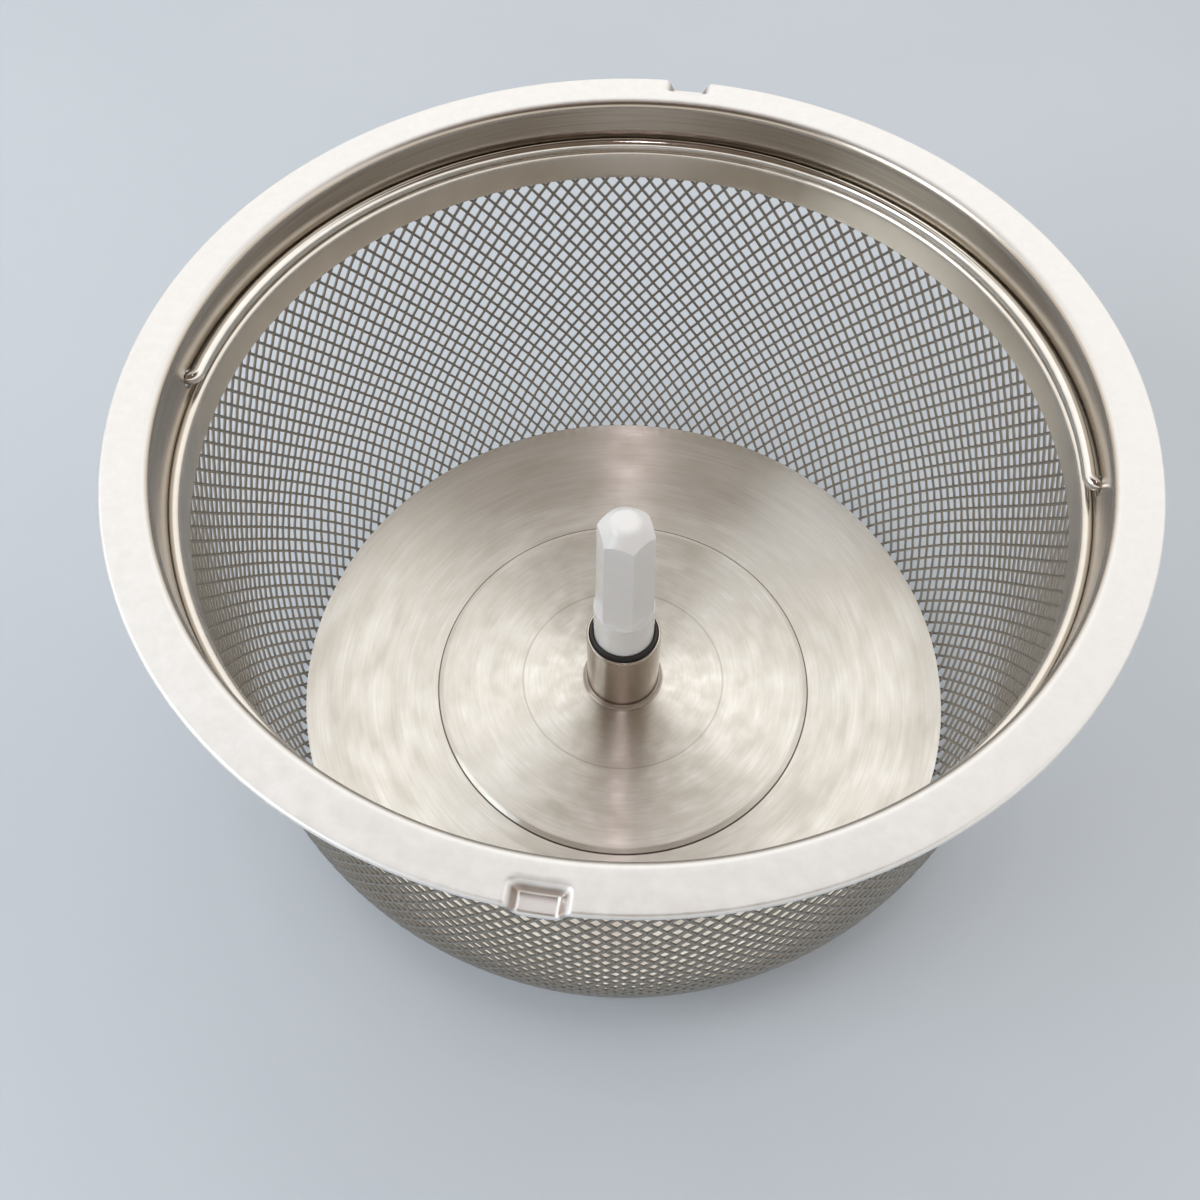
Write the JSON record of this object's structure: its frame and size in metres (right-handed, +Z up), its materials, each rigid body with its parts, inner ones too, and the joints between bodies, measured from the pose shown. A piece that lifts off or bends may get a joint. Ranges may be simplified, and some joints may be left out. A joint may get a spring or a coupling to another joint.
{
  "type": "salad spinner basket",
  "caption": "Round wire mesh salad spinner basket with a flanged rim, a folding bail handle, a closed dished base and a centre spindle that turns in a collar.",
  "frame": {"origin": "on the basket's axis, in the plane that it stands on", "axes": "+Z up along the axis, X through the two bail pivots, +Y towards the side where the bail lies folded"},
  "size_m": [0.2, 0.1998, 0.118],
  "materials": {
    "satin_steel": "satin",
    "wire_cloth": "drawn wire",
    "brushed_plate": "turned, fine circular brushing",
    "polished_steel": "polished",
    "bearing_bronze": "sintered",
    "black_rubber": "matt",
    "white_plastic": "gloss"
  },
  "bodies": {
    "basket": {"rim_ring": "satin_steel", "clamp_band": "satin_steel", "mesh_wall": "wire_cloth", "base_plate": "brushed_plate", "base_cover": "satin_steel", "hub_plate": "brushed_plate", "hub_collar": "polished_steel", "upper_bush": "bearing_bronze", "lower_bush": "bearing_bronze", "shaft_seal": "black_rubber"},
    "spindle": {"hex_spindle": "white_plastic", "upper_washer": "polished_steel", "lower_washer": "polished_steel", "retaining_clip": "polished_steel"},
    "bail": {"bail_handle": "polished_steel"}
  },
  "joints": [
    {"name": "bail_swing", "type": "hinge", "parent": "basket", "child": "bail", "pos_m": [0, 0, 0.1097], "axis": [1, 0, 0], "range_deg": [0, 182.4]},
    {"name": "spindle_spin", "type": "hinge", "parent": "basket", "child": "spindle", "pos_m": [0, 0, 0.015], "axis": [0, 0, 1], "continuous": true}
  ]
}
